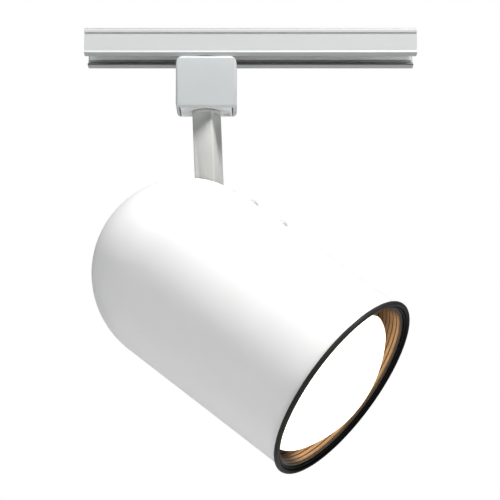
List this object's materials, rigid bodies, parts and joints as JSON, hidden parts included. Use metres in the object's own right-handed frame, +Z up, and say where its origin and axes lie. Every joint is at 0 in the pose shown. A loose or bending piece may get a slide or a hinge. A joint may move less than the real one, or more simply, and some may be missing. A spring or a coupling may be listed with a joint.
{
  "type": "track spotlight",
  "caption": "Bullet-shaped spotlight on a short surface-mounted track: it slides along the slot, swivels, tilts on its arm in a slotted shell, and its reflector lamp comes out of the front.",
  "frame": {"origin": "centre of the track's back face, which lies against the ceiling", "axes": "+Z up into the ceiling, X along the track, -Y the side the head turns towards at rest"},
  "size_m": [0.197, 0.1476, 0.2628],
  "materials": {
    "track_paint": "satin",
    "insulator_plastic": "matt",
    "copper_strip": "bright drawn copper",
    "adapter_plastic": "satin",
    "steel_screw": "zinc plated",
    "mast_plastic": "matt",
    "contact_brass": "bright",
    "lead_insulation": "matt",
    "bush_plastic": "matt",
    "arm_paint": "satin",
    "zinc_steel": "zinc plated",
    "shell_paint": "satin",
    "trim_black": "gloss",
    "baffle_bronze": "dark bronze, semi-gloss",
    "friction_fibre": "matt",
    "porcelain": "glazed",
    "lamp_glass": "frosted face, silvered back",
    "cap_metal": "bright",
    "cap_glass": "gloss",
    "tungsten": "matt"
  },
  "bodies": {
    "track": {"track_channel": "track_paint", "insulator_front": "insulator_plastic", "insulator_back": "insulator_plastic", "conductor_front": "copper_strip", "conductor_back": "copper_strip"},
    "adapter": {"adapter_housing": "adapter_plastic", "base_plate": "adapter_plastic", "base_plate_screw": "steel_screw", "contact_mast": "mast_plastic", "mast_screws": "steel_screw", "line_contact": "contact_brass", "neutral_contact": "contact_brass", "ground_contact": "contact_brass", "adapter_leads": "lead_insulation", "swivel_bush": "bush_plastic"},
    "lock": {"lock_slide": "adapter_plastic", "lock_spring": "zinc_steel"},
    "arm": {"arm_tube": "arm_paint", "swivel_disc": "arm_paint", "swivel_stud": "zinc_steel", "swivel_nut": "zinc_steel", "wave_washer": "zinc_steel", "arm_leads": "lead_insulation"},
    "head": {"shell": "shell_paint", "trim_ring": "trim_black", "baffle": "baffle_bronze", "tilt_bracket": "zinc_steel", "shell_screws": "steel_screw", "pivot_bolt": "zinc_steel", "pivot_nut": "zinc_steel", "friction_washers": "friction_fibre", "socket_bracket": "zinc_steel", "socket_body": "porcelain", "socket_screws": "zinc_steel", "screw_shell": "contact_brass", "centre_contact": "contact_brass", "socket_leads": "lead_insulation"},
    "lamp": {"lamp_glass": "lamp_glass", "lamp_cap": "cap_metal", "lamp_cap_insulator": "cap_glass", "lamp_tip": "cap_metal", "filament_mount": "tungsten"}
  },
  "joints": [
    {"name": "track_slide", "type": "slide", "parent": "track", "child": "adapter", "axis": [1, 0, 0], "range_m": [-0.052, 0.104]},
    {"name": "lock_pull", "type": "slide", "parent": "adapter", "child": "lock", "axis": [0, 0, -1], "range_m": [0, 0.0034], "stiffness_N_per_m": 300, "springref_m": -0.004, "deforming": ["lock_spring"]},
    {"name": "arm_swivel", "type": "hinge", "parent": "adapter", "child": "arm", "pos_m": [-0.0263, 0, -0.0469], "axis": [0, 0, 1], "range_deg": [-175, 175]},
    {"name": "head_tilt", "type": "hinge", "parent": "arm", "child": "head", "pos_m": [-0.02353, -0.00108, -0.11113], "axis": [0.3633, 0.9317, 0], "range_deg": [-36.7, 53.3]},
    {"name": "lamp_out", "type": "slide", "parent": "head", "child": "lamp", "axis": [0.7347, -0.2864, -0.615], "range_m": [0, 0.14]}
  ]
}
